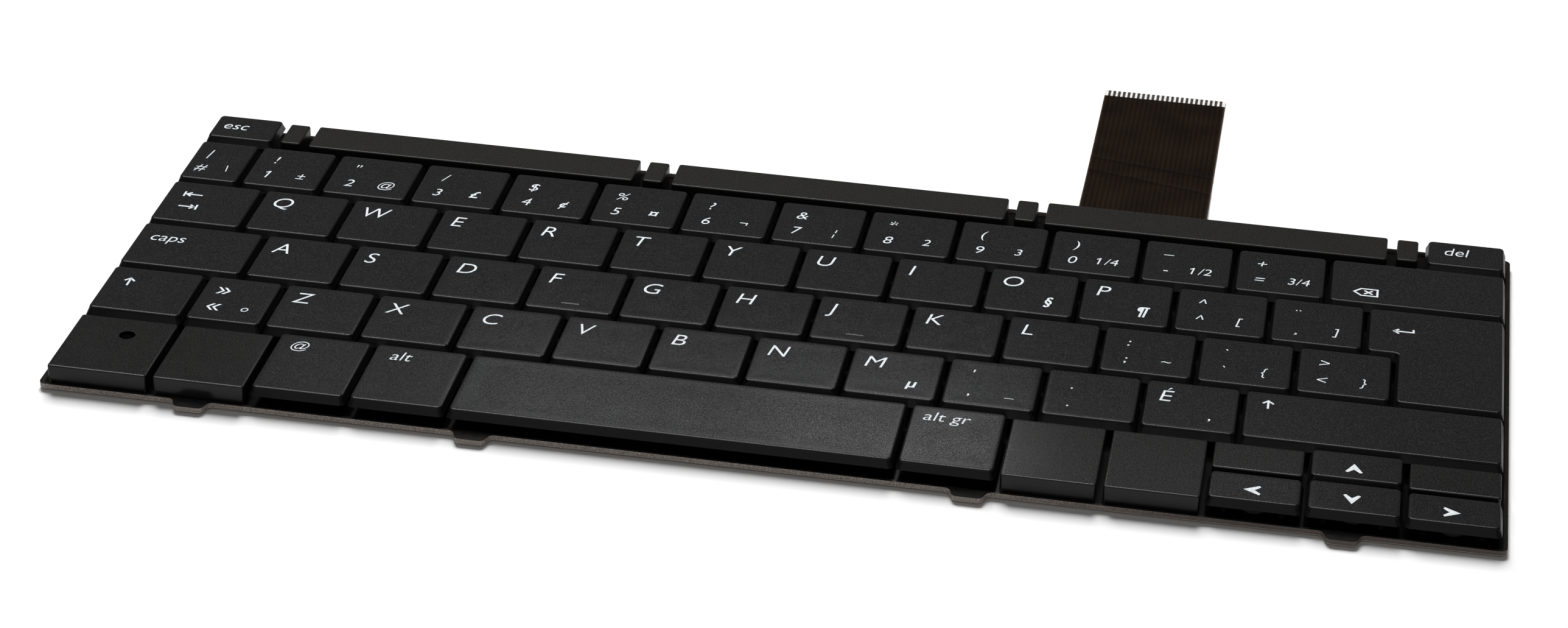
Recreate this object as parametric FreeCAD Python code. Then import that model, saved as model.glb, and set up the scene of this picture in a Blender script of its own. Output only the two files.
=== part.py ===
"""Low scanner control keyboard: pressed tray, switch membrane, scissor keys, fixed fillers, ribbon tail.

Millimetres, +Z up. The origin is the centre of the tray's flat underside, the space bar is towards -Y.
"""
import math
import os

import FreeCAD, Part

# Keys at the common pitch, row by row from the front
SHIFT_ROW_KEYS = ("z", "x", "c", "v", "b", "n", "m", "comma", "period", "e_acute")
HOME_ROW_KEYS = ("a", "s", "d", "f", "g", "h", "j", "k", "l", "semicolon", "grave", "angle")
UPPER_ROW_KEYS = ("q", "w", "e", "r", "t", "y", "u", "i", "o", "p", "caret", "diaeresis")
DIGITS = ("1", "2", "3", "4", "5", "6", "7", "8", "9", "0")
DIGIT_ROW_KEYS = DIGITS[1:] + ("minus", "equals")
PITCH_ROWS = (SHIFT_ROW_KEYS, HOME_ROW_KEYS, UPPER_ROW_KEYS, DIGIT_ROW_KEYS)
HOMING_KEYS = ("f", "j")

# Front row either side of the space bar; None is a fixed blank
LEFT_CONTROLS = (None, "at", "alt")
RIGHT_CONTROLS = ("alt_right", None, None)
ARROW_COLUMNS = ("left", "down", "right")

# Key field, measured on the flat cap tops
KEY_PITCH = 17.5
ROW_PITCH = 17.5
KEY_GAP = 1.25
ROW_GAP = 1.8

# Cells that differ from the pitch; the last key of each row takes up the rest of the field
HASH_CELL = 12.475
ONE_CELL = 15.825
BACKSPACE_CELL = 32.95
TAB_CELL = 18.4
CAPS_CELL = 24.0
LEFT_SHIFT_CELL = 18.175
GUILLEMET_CELL = 14.825
CORNER_CELL = 19.2
LEFT_CONTROL_CELL = 17.7
RIGHT_CONTROL_CELL = 17.55
ARROW_CELL = 16.69

# Front row of deeper keys, with the arrows split front to back
FRONT_ROW_DEPTH = 19.2
DOWN_ARROW_DEPTH = 9.1
SIDE_ARROW_DEPTH = 8.5
ARROW_SPLIT = 1.6

# Narrow row along the back
BACK_ROW_DEPTH = 9.2
BACK_ROW_GAP = 2.5
ESC_WIDTH = 12.8
DELETE_WIDTH = 14.2
SPACER_WIDTH = 3.95
BACK_BLOCK_GAP = 1.85
BAR_COUNT = 3
BAR_DEPTH = 8.8
BAR_FRONT_STEP = 0.2
SPACER_DEPTH = 8.1
SPACER_SETBACK = 0.3

# Key caps: a flat top on a skirt that spreads downwards, hollow below
CAP_HEIGHT = 1.55
CAP_TOP_WALL = 0.7
CAP_WALL = 0.5
CAP_CORNER = 0.6
CAP_CORNER_FLATS = 2
CAP_EDGE = 0.25
FLARE_SIDE = 0.4
FLARE_FRONT = 0.7
FLARE_BACK = 0.5
TRAVEL = 1.65
STOP_CLEARANCE = 0.1
HOMING_BAR_WIDTH = 4.0
HOMING_BAR_DEPTH = 0.6
HOMING_BAR_HEIGHT = 0.2
HOMING_BAR_SETBACK = 2.2

# Fixed fillers: upright walls down to the membrane
FILLER_WALL = 0.8
FILLER_TOP_WALL = 0.9
FILLER_BACK_SETBACK = 1.1
HALF_FILLER_GAP = 1.3
DIMPLE_DIAMETER = 2.9
DIMPLE_DEPTH = 0.5
DIMPLE_FROM_LEFT = 10.3
DIMPLE_FROM_FRONT = 13.1

# Pressed tray with its rim and front tabs
SHEET = 0.6
EDGE_HEIGHT = 1.3
RIM_WALL = 0.6
EDGE_BEVEL = 0.4
TRAY_CORNER = 1.3
RIM_CLEARANCE_SIDE = 0.5
RIM_CLEARANCE_FRONT = 0.4
RIM_CLEARANCE_BACK = 0.2
TAB_CENTRES = (-99.8, -49.4, 37.2, 100.3)
TAB_REACH = 2.4
TAB_TIP_WIDTH = 5.0
TAB_ROOT_WIDTH = 6.6
TAB_ROUND = 1.1

# Printed membrane and its ribbon tail
MEMBRANE = 0.25
MEMBRANE_CLEARANCE = 0.15
TAIL_CENTRE = 57.2
TAIL_WIDTH = 24.9
TAIL_LENGTH = 59.3
TAIL_SLOPE_LENGTH = 24.0
TAIL_BOW_SHARE = 0.125
TAIL_NOTCH_CLEARANCE = 0.5
TAIL_FLOOR_CLEARANCE = 0.05
STIFFENER_LENGTH = 26.0
STIFFENER = 0.15

# Domes and scissor frames under the caps
DOME_BASE_RADIUS = 1.9
DOME_TOP_RADIUS = 1.3
DOME_CLEARANCE = 0.05
DOME_FLATS = 10
SCISSOR_REACH = 9.0
SCISSOR_HALF_WIDTH = 5.3
SCISSOR_ARM = 0.8
SCISSOR_THICKNESS = 0.6
SCISSOR_SPACING = 0.4
SCISSOR_CLEARANCE = 0.4
SCISSOR_SEAT = 0.03

# Long keys stand on two pairs of frames, this share of the cap's width apart
TWO_PAIR_KEYS = ("backspace", "right_shift", "space")
PAIR_SPREAD = 0.5

# Sizes that follow from those above
FIELD_WIDTH = HASH_CELL + ONE_CELL + len(DIGIT_ROW_KEYS) * KEY_PITCH + BACKSPACE_CELL
PITCH_ROWS_DEPTH = len(PITCH_ROWS) * ROW_PITCH - ROW_GAP
KEY_DEPTH = ROW_PITCH - ROW_GAP
MEMBRANE_TOP = SHEET + MEMBRANE
SKIRT_BOTTOM = EDGE_HEIGHT + STOP_CLEARANCE + TRAVEL
CAP_TOP = SKIRT_BOTTOM + CAP_HEIGHT
CAP_CEILING = CAP_TOP - CAP_TOP_WALL
FRONT_MARGIN = FLARE_FRONT + RIM_CLEARANCE_FRONT + RIM_WALL
BACK_MARGIN = FLARE_BACK + RIM_CLEARANCE_BACK + RIM_WALL
SIDE_MARGIN = FLARE_SIDE + RIM_CLEARANCE_SIDE + RIM_WALL - KEY_GAP / 2
TRAY_WIDTH = FIELD_WIDTH + 2 * SIDE_MARGIN
TOPS_DEPTH = FRONT_ROW_DEPTH + ROW_GAP + PITCH_ROWS_DEPTH + BACK_ROW_GAP + BACK_ROW_DEPTH
TRAY_DEPTH = FRONT_MARGIN + TOPS_DEPTH + BACK_MARGIN
FIELD_LEFT = -FIELD_WIDTH / 2
FRONT_ROW_FRONT = -TRAY_DEPTH / 2 + FRONT_MARGIN
FRONT_ROW_BACK = FRONT_ROW_FRONT + FRONT_ROW_DEPTH
SHIFT_ROW_FRONT = FRONT_ROW_BACK + ROW_GAP
BACK_ROW_FRONT = SHIFT_ROW_FRONT + PITCH_ROWS_DEPTH + BACK_ROW_GAP


def rectangle(left, right, front, back):
    """Corners of an upright rectangle, anticlockwise from its front left."""
    return [(left, front), (right, front), (right, back), (left, back)]


def spread(points, side, front, back):
    """Move each edge of a square-cornered outline outwards by the distance for the way it faces."""
    moved = []
    for index, (x, y) in enumerate(points):
        before = points[index - 1]
        after = points[(index + 1) % len(points)]
        for start, end in ((before, (x, y)), ((x, y), after)):
            run_x = end[0] - start[0]
            run_y = end[1] - start[1]
            if abs(run_x) > abs(run_y):
                new_y = y - front if run_x > 0 else y + back
            else:
                new_x = x + side if run_y > 0 else x - side
        moved.append((new_x, new_y))
    return moved


def rounded_wire(points, radii, z):
    """Closed wire through points at height z, with an arc of its own radius at each point."""
    starts = []
    middles = []
    ends = []
    for index, (x, y) in enumerate(points):
        corner = FreeCAD.Vector(x, y, z)
        to_before = FreeCAD.Vector(*points[index - 1], z) - corner
        to_after = FreeCAD.Vector(*points[(index + 1) % len(points)], z) - corner
        half_angle = to_before.getAngle(to_after) / 2
        to_before.normalize()
        to_after.normalize()
        inward = to_before + to_after
        inward.normalize()
        radius = radii[index]
        starts.append(corner + to_before * (radius / math.tan(half_angle)))
        ends.append(corner + to_after * (radius / math.tan(half_angle)))
        middles.append(corner + inward * (radius / math.sin(half_angle) - radius))
    edges = []
    for index in range(len(points)):
        edges.append(Part.Arc(starts[index], middles[index], ends[index]).toShape())
        edges.append(Part.LineSegment(ends[index], starts[(index + 1) % len(points)]).toShape())
    return Part.Wire(edges)


def eased_ring(points, radius, z):
    """Ring of points at height z round a square-cornered outline, each corner eased by short flats."""
    ring = []
    for index, (x, y) in enumerate(points):
        corner = FreeCAD.Vector(x, y, z)
        to_before = (FreeCAD.Vector(*points[index - 1], z) - corner).normalize()
        to_after = (FreeCAD.Vector(*points[(index + 1) % len(points)], z) - corner).normalize()
        centre = corner + (to_before + to_after) * radius
        for flat in range(CAP_CORNER_FLATS + 1):
            angle = math.pi / 2 * flat / CAP_CORNER_FLATS
            ring.append(centre - (to_after * math.cos(angle) + to_before * math.sin(angle)) * radius)
    return ring


def stacked_solid(rings):
    """Solid with flat faces between rings of points, from the lowest ring to the highest."""
    count = len(rings[0])
    outlines = [rings[0], rings[-1]]
    for lower, upper in zip(rings, rings[1:]):
        for index in range(count):
            after = (index + 1) % count
            outlines.append([lower[index], lower[after], upper[after], upper[index]])
    faces = [Part.Face(Part.makePolygon(outline + outline[:1])) for outline in outlines]
    return Part.makeSolid(Part.makeShell(faces))


def prism(points, bottom, top):
    """Upright block on a sharp-cornered outline."""
    loop = [FreeCAD.Vector(x, y, bottom) for x, y in points + points[:1]]
    face = Part.Face(Part.makePolygon(loop))
    return face.extrude(FreeCAD.Vector(0, 0, top - bottom))


def at_pitch(names):
    """Names of keys, each with the common pitch as its cell."""
    return [(name, KEY_PITCH) for name in names]


def key_outlines():
    """Flat top outline of every live key, by name, and of every full or half blank, in a list."""
    caps = {}
    blanks = []
    half_gap = KEY_GAP / 2
    field_right = FIELD_LEFT + FIELD_WIDTH
    row_starts = (
        [("left_shift", LEFT_SHIFT_CELL), ("guillemet", GUILLEMET_CELL)],
        [("caps_lock", CAPS_CELL)],
        [("tab", TAB_CELL)],
        [("hash", HASH_CELL), ("1", ONE_CELL)],
    )
    row_ends = ("right_shift", "enter_front", "enter_back", "backspace")
    for row_number, names in enumerate(PITCH_ROWS):
        front = SHIFT_ROW_FRONT + row_number * ROW_PITCH
        left = FIELD_LEFT
        for name, cell in row_starts[row_number] + at_pitch(names) + [(row_ends[row_number], None)]:
            right = field_right if cell is None else left + cell
            caps[name] = rectangle(left + half_gap, right - half_gap, front, front + KEY_DEPTH)
            left = right

    # The enter key is one L-shaped cap over the ends of two rows
    near = caps.pop("enter_front")
    far = caps.pop("enter_back")
    caps["enter"] = [near[0], near[1], far[2], far[3], far[0], (near[0][0], far[0][1])]

    # Front row: corner blank, controls, space, controls, arrow columns
    arrows_left = field_right - len(ARROW_COLUMNS) * ARROW_CELL
    right_controls_left = arrows_left - len(RIGHT_CONTROLS) * RIGHT_CONTROL_CELL
    left_controls_left = FIELD_LEFT + CORNER_CELL
    space_left = left_controls_left + len(LEFT_CONTROLS) * LEFT_CONTROL_CELL

    def front_row_span(left, right, front=FRONT_ROW_FRONT, back=FRONT_ROW_BACK):
        return rectangle(left + half_gap, right - half_gap, front, back)

    blank_front = FRONT_ROW_FRONT - FLARE_FRONT
    blank_back = FRONT_ROW_BACK - FILLER_BACK_SETBACK
    blanks.append(front_row_span(FIELD_LEFT, left_controls_left, blank_front, blank_back))
    for number, name in enumerate(LEFT_CONTROLS):
        left = left_controls_left + number * LEFT_CONTROL_CELL
        if name is None:
            blanks.append(front_row_span(left, left + LEFT_CONTROL_CELL, blank_front, blank_back))
        else:
            caps[name] = front_row_span(left, left + LEFT_CONTROL_CELL)
    caps["space"] = front_row_span(space_left, right_controls_left)
    for number, name in enumerate(RIGHT_CONTROLS):
        left = right_controls_left + number * RIGHT_CONTROL_CELL
        if name is None:
            blanks.append(front_row_span(left, left + RIGHT_CONTROL_CELL, blank_front, blank_back))
        else:
            caps[name] = front_row_span(left, left + RIGHT_CONTROL_CELL)
    side_back = FRONT_ROW_FRONT + SIDE_ARROW_DEPTH
    down_back = FRONT_ROW_FRONT + DOWN_ARROW_DEPTH
    for number, name in enumerate(ARROW_COLUMNS):
        left = arrows_left + number * ARROW_CELL
        right = left + ARROW_CELL
        if name == "down":
            caps["down"] = front_row_span(left, right, FRONT_ROW_FRONT, down_back)
            caps["up"] = front_row_span(left, right, down_back + ARROW_SPLIT, FRONT_ROW_BACK)
        else:
            caps[name] = front_row_span(left, right, FRONT_ROW_FRONT, side_back)
            blanks.append(front_row_span(left, right, side_back + HALF_FILLER_GAP, blank_back))

    # Ends of the back row
    esc_left = FIELD_LEFT + half_gap
    delete_right = field_right - half_gap
    back_row_back = BACK_ROW_FRONT + BACK_ROW_DEPTH
    caps["esc"] = rectangle(esc_left, esc_left + ESC_WIDTH, BACK_ROW_FRONT, back_row_back)
    caps["delete"] = rectangle(delete_right - DELETE_WIDTH, delete_right, BACK_ROW_FRONT, back_row_back)
    return caps, blanks


def back_row_blocks(caps):
    """Outlines of the spacers and long bars between esc and delete: spacer, bar, spacer and so on."""
    start = caps["esc"][1][0]
    stop = caps["delete"][0][0]
    spacer_count = BAR_COUNT + 1
    block_count = BAR_COUNT + spacer_count
    bars_room = stop - start - spacer_count * SPACER_WIDTH - (block_count + 1) * BACK_BLOCK_GAP
    bar_width = bars_room / BAR_COUNT
    outlines = []
    left = start + BACK_BLOCK_GAP
    for number in range(block_count):
        if number % 2 == 0:
            width = SPACER_WIDTH
            front = BACK_ROW_FRONT + SPACER_SETBACK
            depth = SPACER_DEPTH
        else:
            width = bar_width
            front = BACK_ROW_FRONT - BAR_FRONT_STEP
            depth = BAR_DEPTH
        outlines.append(rectangle(left, left + width, front, front + depth))
        left += width + BACK_BLOCK_GAP
    return outlines


def key_cap(outline):
    """Moulded cap: a skirt that spreads downwards, an eased top edge, hollowed from below."""
    lower = spread(outline, FLARE_SIDE, FLARE_FRONT, FLARE_BACK)
    upper = spread(outline, -CAP_EDGE, -CAP_EDGE, -CAP_EDGE)
    body = stacked_solid([
        eased_ring(lower, CAP_CORNER, SKIRT_BOTTOM),
        eased_ring(outline, CAP_CORNER, CAP_TOP - CAP_EDGE),
        eased_ring(upper, CAP_CORNER, CAP_TOP),
    ])
    hollow = prism(spread(outline, -CAP_WALL, -CAP_WALL, -CAP_WALL), SKIRT_BOTTOM, CAP_CEILING)
    return body.cut(hollow)


def homing_bar(outline):
    """Raised bar near the front of the two home keys."""
    middle = (outline[0][0] + outline[1][0]) / 2
    front = outline[0][1] + HOMING_BAR_SETBACK
    half = HOMING_BAR_WIDTH / 2
    footprint = rectangle(middle - half, middle + half, front, front + HOMING_BAR_DEPTH)
    return prism(footprint, CAP_CEILING, CAP_TOP + HOMING_BAR_HEIGHT)


def filler_block(outline):
    """Fixed blank: an upturned box that stands on the membrane."""
    hollow = spread(outline, -FILLER_WALL, -FILLER_WALL, -FILLER_WALL)
    return prism(outline, MEMBRANE_TOP, CAP_TOP).cut(
        prism(hollow, MEMBRANE_TOP, CAP_TOP - FILLER_TOP_WALL))


def dimple(outline):
    """Shallow round recess in the corner blank."""
    place = FreeCAD.Vector(
        outline[0][0] + DIMPLE_FROM_LEFT, outline[0][1] + DIMPLE_FROM_FRONT, CAP_TOP - DIMPLE_DEPTH)
    return Part.makeCylinder(DIMPLE_DIAMETER / 2, DIMPLE_DEPTH, place)


def mechanism_places(outline):
    """Middle, free width and free depth of a cap's mechanism, over the full-depth part of the cap."""
    left = outline[0][0]
    right = outline[1][0]
    front = outline[0][1]
    back = outline[2][1]
    return (left + right) / 2, (front + back) / 2, right - left, back - front


def dome(outline):
    """Dome spring on the membrane, just under the cap's ceiling, its flanks in flats."""
    x, y, _, _ = mechanism_places(outline)
    rings = []
    for radius, z in ((DOME_BASE_RADIUS, MEMBRANE_TOP), (DOME_TOP_RADIUS, CAP_CEILING - DOME_CLEARANCE)):
        angles = [2 * math.pi * flat / DOME_FLATS for flat in range(DOME_FLATS)]
        rings.append([FreeCAD.Vector(x + radius * math.cos(a), y + radius * math.sin(a), z) for a in angles])
    return stacked_solid(rings)


def scissor_frame(half_width, reach, turn, x, y):
    """One U-shaped frame, its open end on the membrane and its cross bar up under the cap."""
    arm = SCISSOR_ARM
    points = [
        (-half_width, 0), (-half_width + arm, 0), (-half_width + arm, reach - arm),
        (half_width - arm, reach - arm), (half_width - arm, 0), (half_width, 0),
        (half_width, reach), (-half_width, reach),
    ]
    frame = prism(points, 0, SCISSOR_THICKNESS)
    height = CAP_CEILING - MEMBRANE_TOP - 2 * SCISSOR_SEAT
    lean = math.asin(height / math.hypot(reach, SCISSOR_THICKNESS)) - math.atan2(SCISSOR_THICKNESS, reach)
    span = reach * math.cos(lean) - SCISSOR_THICKNESS * math.sin(lean)
    frame.rotate(FreeCAD.Vector(), FreeCAD.Vector(1, 0, 0), math.degrees(lean))
    frame.translate(FreeCAD.Vector(0, -span / 2, MEMBRANE_TOP + SCISSOR_SEAT))
    frame.rotate(FreeCAD.Vector(), FreeCAD.Vector(0, 0, 1), turn)
    frame.translate(FreeCAD.Vector(x, y, 0))
    return frame


def scissor_links(name, outline):
    """Outer and inner frame crossing under a cap, and two such pairs under a long cap."""
    x, y, width, depth = mechanism_places(outline)
    room = CAP_WALL + SCISSOR_CLEARANCE
    half_width = min(SCISSOR_HALF_WIDTH, width / 2 - room)
    inner_half_width = half_width - SCISSOR_ARM - SCISSOR_SPACING
    reach = min(SCISSOR_REACH, depth - 2 * room)
    middles = [x]
    if name in TWO_PAIR_KEYS:
        middles = [x - PAIR_SPREAD * width / 2, x + PAIR_SPREAD * width / 2]
    frames = []
    for middle in middles:
        frames.append(scissor_frame(half_width, reach, 0, middle, y))
        frames.append(scissor_frame(inner_half_width, reach, 180, middle, y))
    return frames


def base_tray():
    """Pressed sheet: floor, upturned rim with a notch for the tail, four tabs on the front edge."""
    half_width = TRAY_WIDTH / 2
    front = -TRAY_DEPTH / 2
    back = TRAY_DEPTH / 2
    points = [(-half_width, front)]
    radii = [TRAY_CORNER]
    for centre in TAB_CENTRES:
        points.append((centre - TAB_ROOT_WIDTH / 2, front))
        points.append((centre - TAB_TIP_WIDTH / 2, front - TAB_REACH))
        points.append((centre + TAB_TIP_WIDTH / 2, front - TAB_REACH))
        points.append((centre + TAB_ROOT_WIDTH / 2, front))
        radii += [TAB_ROUND] * 4
    points += [(half_width, front), (half_width, back), (-half_width, back)]
    radii += [TRAY_CORNER] * 3
    blank = Part.Face(rounded_wire(points, radii, 0)).extrude(FreeCAD.Vector(0, 0, EDGE_HEIGHT))
    lower_edges = [edge for edge in blank.Edges if edge.BoundBox.ZMax < EDGE_BEVEL / 2]
    blank = blank.makeChamfer(EDGE_BEVEL, lower_edges)
    inside = rectangle(
        -half_width + RIM_WALL, half_width - RIM_WALL, front + RIM_WALL, back - RIM_WALL)
    well_radius = TRAY_CORNER - RIM_WALL
    well = Part.Face(rounded_wire(inside, [well_radius] * 4, SHEET))
    tray = blank.cut(well.extrude(FreeCAD.Vector(0, 0, EDGE_HEIGHT)))
    notch_half = TAIL_WIDTH / 2 + TAIL_NOTCH_CLEARANCE
    notch = rectangle(
        TAIL_CENTRE - notch_half, TAIL_CENTRE + notch_half, back - 2 * RIM_WALL, back + RIM_WALL)
    return tray.cut(prism(notch, SHEET, EDGE_HEIGHT + SHEET))


def tail_profile():
    """Side view of the tail as a face in the YZ plane: level, an easy S bend down, then along the floor."""
    start = TRAY_DEPTH / 2 - 2 * RIM_WALL
    bend = TRAY_DEPTH / 2
    landing = bend + TAIL_SLOPE_LENGTH
    tip = bend + TAIL_LENGTH
    step = tip - STIFFENER_LENGTH
    drop = SHEET - TAIL_FLOOR_CLEARANCE
    half_run = TAIL_SLOPE_LENGTH / 2
    bow = drop * TAIL_BOW_SHARE

    def point(y, z):
        return FreeCAD.Vector(TAIL_CENTRE - TAIL_WIDTH / 2, y, z)

    def s_bend(level):
        high = point(bend, level)
        middle = point(bend + half_run, level - drop / 2)
        low = point(landing, level - drop)
        upper = Part.Arc(high, point(bend + half_run / 2, level - drop / 4 + bow), middle).toShape()
        lower = Part.Arc(middle, point(landing - half_run / 2, level - 3 * drop / 4 - bow), low).toShape()
        return [upper, lower]

    def line(*places):
        return [Part.LineSegment(point(*a), point(*b)).toShape() for a, b in zip(places, places[1:])]

    under = TAIL_FLOOR_CLEARANCE
    over = TAIL_FLOOR_CLEARANCE + MEMBRANE
    edges = line((landing, over), (step, over), (step, over + STIFFENER), (tip, over + STIFFENER),
                 (tip, under), (landing, under))
    edges += s_bend(SHEET)
    edges += line((bend, SHEET), (start, SHEET), (start, MEMBRANE_TOP), (bend, MEMBRANE_TOP))
    edges += s_bend(MEMBRANE_TOP)
    return Part.Face(Part.Wire(Part.__sortEdges__(edges)))


def switch_membrane():
    """Printed film inside the rim, with the ribbon tail running out through the notch."""
    gap = RIM_WALL + MEMBRANE_CLEARANCE
    half_width = TRAY_WIDTH / 2 - gap
    half_depth = TRAY_DEPTH / 2 - gap
    sheet = prism(rectangle(-half_width, half_width, -half_depth, half_depth), SHEET, MEMBRANE_TOP)
    tail = tail_profile().extrude(FreeCAD.Vector(TAIL_WIDTH, 0, 0))
    return sheet.fuse(tail).removeSplitter()


def main():
    os.makedirs("parts", exist_ok=True)
    caps, blanks = key_outlines()
    fillers = [filler_block(outline) for outline in blanks + back_row_blocks(caps)]
    fillers[0] = fillers[0].cut(dimple(blanks[0]))
    nodes = {
        "base_tray": base_tray(),
        "switch_membrane": switch_membrane(),
        "rubber_domes": Part.makeCompound([dome(outline) for outline in caps.values()]),
        "scissor_links": Part.makeCompound(
            [frame for name, outline in caps.items() for frame in scissor_links(name, outline)]),
        "filler_blocks": Part.makeCompound(fillers),
        "digit_keys": Part.makeCompound([key_cap(caps[name]) for name in DIGITS]),
    }
    for name, outline in caps.items():
        if name in DIGITS:
            continue
        cap = key_cap(outline)
        if name in HOMING_KEYS:
            cap = cap.fuse(homing_bar(outline)).removeSplitter()
        nodes["key_" + name] = cap
    for name, shape in nodes.items():
        shape.exportStep("parts/" + name + ".step")


main()
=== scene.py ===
# %% [markdown]
# # A low keyboard with scissor keys, dressed for the camera
# The real object is a thin keyboard module: a pressed steel tray, a printed switch film with a ribbon
# tail, small rubber domes under scissor frames, and near-black moulded caps. The solids of the frame
# give every size and place. This lesson builds finer meshes over them and gives each surface the finish
# of its material.

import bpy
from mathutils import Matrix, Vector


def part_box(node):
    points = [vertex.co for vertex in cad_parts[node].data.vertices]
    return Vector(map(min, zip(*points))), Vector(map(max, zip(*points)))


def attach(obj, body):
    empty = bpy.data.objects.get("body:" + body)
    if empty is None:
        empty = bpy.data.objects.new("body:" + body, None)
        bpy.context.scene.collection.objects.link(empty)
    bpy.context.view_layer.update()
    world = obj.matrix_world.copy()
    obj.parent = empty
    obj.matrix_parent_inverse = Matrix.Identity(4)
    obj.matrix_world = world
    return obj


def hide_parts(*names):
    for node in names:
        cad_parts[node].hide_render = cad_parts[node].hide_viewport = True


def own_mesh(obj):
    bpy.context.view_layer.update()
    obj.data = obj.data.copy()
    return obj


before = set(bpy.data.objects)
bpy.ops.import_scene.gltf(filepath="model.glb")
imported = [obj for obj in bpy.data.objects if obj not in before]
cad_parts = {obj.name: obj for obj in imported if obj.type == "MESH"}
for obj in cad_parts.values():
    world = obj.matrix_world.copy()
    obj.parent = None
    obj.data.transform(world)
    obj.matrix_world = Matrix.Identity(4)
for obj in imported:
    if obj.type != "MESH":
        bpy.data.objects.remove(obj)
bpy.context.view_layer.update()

# %% [markdown]
# ## Small tools
# Everything is in metres, so a size in millimetres is written as a number times MM. Colours are written
# as the sRGB hex values that a designer would pick, and one function turns them into the linear values
# that a shader works with. One more function adds a shader node, so that a material reads as a list of
# its nodes.

# %% Units, colours and nodes
import math

import bmesh
import bpy
from mathutils import Quaternion, Vector
from mathutils.bvhtree import BVHTree

MM = 0.001


def linear(hex_colour):
    """An sRGB hex colour as linear red, green, blue and alpha."""
    channels = [int(hex_colour[place:place + 2], 16) / 255 for place in (1, 3, 5)]
    return [c / 12.92 if c <= 0.04045 else ((c + 0.055) / 1.055) ** 2.4 for c in channels] + [1.0]


def add(tree, kind, inputs, **settings):
    """A shader node with its settings; inputs are values, or outputs of other nodes to link."""
    node = tree.nodes.new("ShaderNode" + kind)
    for name, value in settings.items():
        setattr(node, name, value)
    for socket, value in inputs.items():
        if isinstance(value, bpy.types.NodeSocket):
            tree.links.new(value, node.inputs[socket])
        else:
            node.inputs[socket].default_value = value
    return node


def new_material(name, **sockets):
    """A material with a Principled shader, and constants set on that shader's own sockets."""
    material = bpy.data.materials.new(name)
    material.use_nodes = True
    shader = material.node_tree.nodes["Principled BSDF"]
    for socket, value in sockets.items():
        shader.inputs[socket.replace("_", " ")].default_value = value
    return material, material.node_tree, shader


def feed(tree, shader, **sources):
    """Links outputs of nodes to the shader's sockets."""
    for socket, source in sources.items():
        tree.links.new(source, shader.inputs[socket.replace("_", " ")])


def ramp_colours(ramp, stops):
    """Sets a colour ramp's stops from pairs of place and hex colour."""
    while len(ramp.color_ramp.elements) < len(stops):
        ramp.color_ramp.elements.new(1.0)
    for element, (place, hex_colour) in zip(ramp.color_ramp.elements, stops):
        element.position = place
        element.color = linear(hex_colour)


print("nodes in the frame:", len(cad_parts))

# %% [markdown]
# ## The camera
# A product photograph of a flat thing is taken from above its front edge with a long lens, so that the
# rows stay nearly parallel. The camera could be aimed by a constraint, but a fixed place, heading and
# small roll repeat the view exactly. Depth of field stays off, so every row is sharp.

# %% Place the camera
CAMERA_PLACE = Vector((89.4, -584.8, 334.2)) * MM
CAMERA_HEADING = math.radians(-9.04)
CAMERA_DROP = math.radians(29.29)
CAMERA_ROLL = math.radians(1.79)
LENS_LENGTH = 85.1
SENSOR_WIDTH = 36.0

camera_data = bpy.data.cameras.new("camera")
camera_data.sensor_width = SENSOR_WIDTH
camera_data.lens = LENS_LENGTH
camera_data.clip_start = 10 * MM
camera = bpy.data.objects.new("camera", camera_data)
bpy.context.scene.collection.objects.link(camera)
bpy.context.scene.camera = camera
aim = Vector((
    math.sin(CAMERA_HEADING) * math.cos(CAMERA_DROP),
    math.cos(CAMERA_HEADING) * math.cos(CAMERA_DROP),
    -math.sin(CAMERA_DROP),
))
camera.location = CAMERA_PLACE
camera.rotation_mode = "QUATERNION"
camera.rotation_quaternion = aim.to_track_quat("-Z", "Y") @ Quaternion((0, 0, 1), CAMERA_ROLL)
print("camera stands", round(camera.location.length, 3), "m from the tray's centre")

# %% [markdown]
# ## The studio
# The keyboard lies on white paper under soft boxes, and each box has one job, as with masks in a studio.
# Two of them only light the surfaces: the key box, high behind, gives the plain level and the soft
# shadow along the front edge, and a weak fill keeps the tray's edge from going black. The others are
# seen only as gloss: the top box draws the thin bright line on each cap's front edge, and the card in
# front turns the black walls dark grey. Three low strips just behind the keys are what the grained tops
# of the front row mirror, so they draw the sheen that fades along it. Lamps in the same place hide each
# other, so the strips stand 2 mm apart. The world is dim, and white only where the camera looks straight
# at it. In the same way the camera sees the paper white, while the caps mirror it grey, so that their
# fronts stay dark. Nothing here is polished metal or glass that would have to show a white room.

# %% Lay the floor
FLOOR_SIZE = 8.0
FLOOR_WHITE = "#FBFBFB"
FLOOR_GREY = "#A8A8A8"

bpy.context.scene.view_settings.view_transform = "Standard"
bpy.ops.mesh.primitive_plane_add(size=FLOOR_SIZE)
floor = bpy.context.object
floor.name = "studio_floor"
paper, tree, shader = new_material("matt_white_paper", Roughness=0.9, Specular_IOR_Level=0.0)
light_path = add(tree, "LightPath", {})
tint = add(tree, "Mix", {"Factor": light_path.outputs["Is Camera Ray"], 6: linear(FLOOR_GREY),
                         7: linear(FLOOR_WHITE)}, data_type="RGBA")
feed(tree, shader, Base_Color=tint.outputs[2])
floor.data.materials.append(paper)
print("floor is", FLOOR_SIZE, "m wide")

# %% Light the studio
ROOM_LEVEL = 0.085
TRAY_CENTRE = (0, 0, 0)
FRONT_ROW = (-0.045, 0.004)
STRIP_PLACE = (0.08, 0.088)
STRIP_HEIGHT = 0.022
STRIP_STEP = 2 * MM
STRIPS = (("low_strip", -0.025, 0.12, 0.00647), ("short_strip", 0.0075, 0.055, 0.00215),
          ("wide_strip", -0.015, 0.23, 0.00477))

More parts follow.
